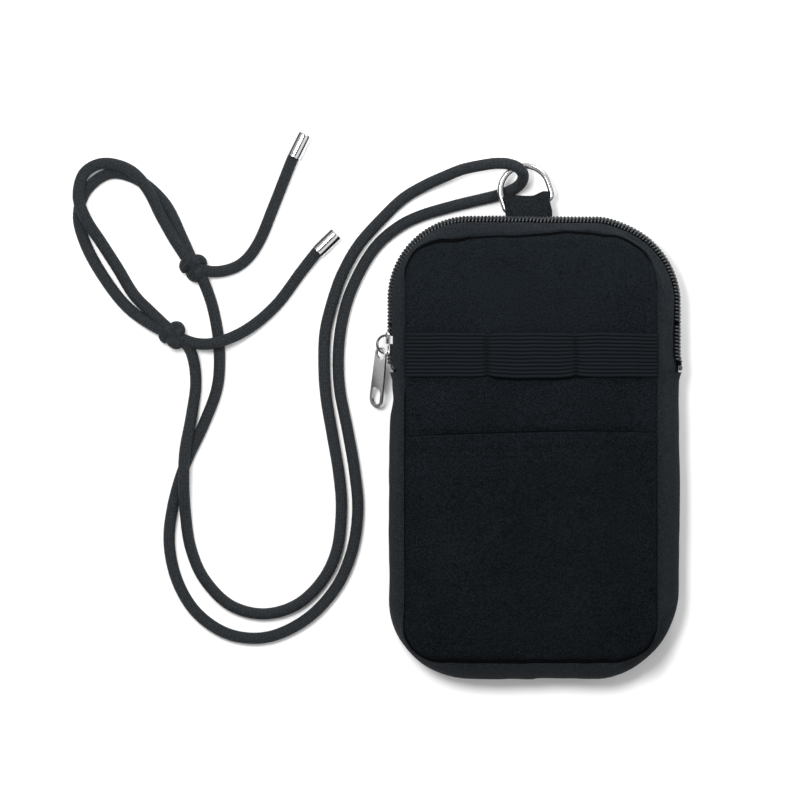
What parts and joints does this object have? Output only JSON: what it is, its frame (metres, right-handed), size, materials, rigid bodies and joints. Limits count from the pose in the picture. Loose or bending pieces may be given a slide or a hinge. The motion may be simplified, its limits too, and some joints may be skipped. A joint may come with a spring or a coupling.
{
  "type": "neck pouch wallet",
  "caption": "Padded neck pouch with a zip opening, elastic loop band, slip pocket, D-ring and an adjustable knotted neck cord.",
  "frame": {"origin": "centre of the back panel's outer face, which the pouch lies on", "axes": "+Y towards the end with the ring, +Z out of the front face, +X to the right seen from the front"},
  "size_m": [0.2377, 0.2139, 0.0217],
  "materials": {
    "shell_fabric": "fine plain weave, matt",
    "gusset_fabric": "fine plain weave, matt",
    "padding_foam": "soft foam sheet",
    "lining_fabric": "smooth thin lining",
    "binding_tape": "ribbed binding tape",
    "zip_tape": "woven zip tape",
    "zip_coil": "satin nylon coil",
    "slider_metal": "dark nickel",
    "pull_tab_metal": "satin nickel",
    "elastic": "ribbed woven elastic",
    "thread": "sewing thread",
    "webbing": "woven tab",
    "ring_metal": "polished nickel",
    "cord": "round braided cord",
    "tip_metal": "polished nickel"
  },
  "bodies": {
    "pouch": {"back_panel": "shell_fabric", "back_padding": "padding_foam", "back_lining": "lining_fabric", "back_seam_binding": "binding_tape", "front_panel_lower": "shell_fabric", "front_padding_lower": "padding_foam", "front_lining_lower": "lining_fabric", "front_seam_binding_lower": "binding_tape", "lower_gusset": "gusset_fabric", "lower_gusset_lining": "lining_fabric", "rear_zip_strip": "gusset_fabric", "front_zip_strip_lower": "gusset_fabric", "zip_tape_rear": "zip_tape", "zip_tape_front_lower": "zip_tape", "zip_coil_rear": "zip_coil", "zip_coil_front_lower": "zip_coil", "zip_top_stops": "zip_coil", "zip_bottom_stop": "zip_coil", "elastic_band": "elastic", "band_stitches": "thread", "slip_pocket": "shell_fabric", "ring_tab": "webbing", "cord_strand_a": "cord", "cord_strand_b": "cord", "knot_upper": "cord", "knot_lower": "cord", "cord_tip_a": "tip_metal", "cord_tip_b": "tip_metal"},
    "flap": {"front_panel_upper": "shell_fabric", "front_padding_upper": "padding_foam", "front_lining_upper": "lining_fabric", "front_seam_binding_upper": "binding_tape", "front_zip_strip_upper": "gusset_fabric", "zip_tape_front_upper": "zip_tape", "zip_coil_front_upper": "zip_coil"},
    "slider": {"slider_body": "slider_metal"},
    "pull_tab": {"pull_tab": "pull_tab_metal"},
    "ring": {"d_ring": "ring_metal", "cord_bight": "cord"}
  },
  "joints": [
    {"name": "flap_fold", "type": "hinge", "parent": "pouch", "child": "flap", "pos_m": [0, 0.04815, 0.02], "axis": [1, 0, 0], "range_deg": [0, 80]},
    {"name": "slider_run", "type": "slide", "parent": "pouch", "child": "slider", "axis": [0, -1, 0], "range_m": [-0.012, 0.0039]},
    {"name": "pull_tab_swing", "type": "hinge", "parent": "slider", "child": "pull_tab", "pos_m": [-0.05966, 0.03876, 0.0147], "axis": [-0.73, 0.3803, -0.5679], "range_deg": [0, 100]},
    {"name": "ring_swing", "type": "hinge", "parent": "pouch", "child": "ring", "pos_m": [-0.00195, 0.09469, 0.0072], "axis": [0.9511, 0.309, 0], "range_deg": [0, 85]}
  ]
}
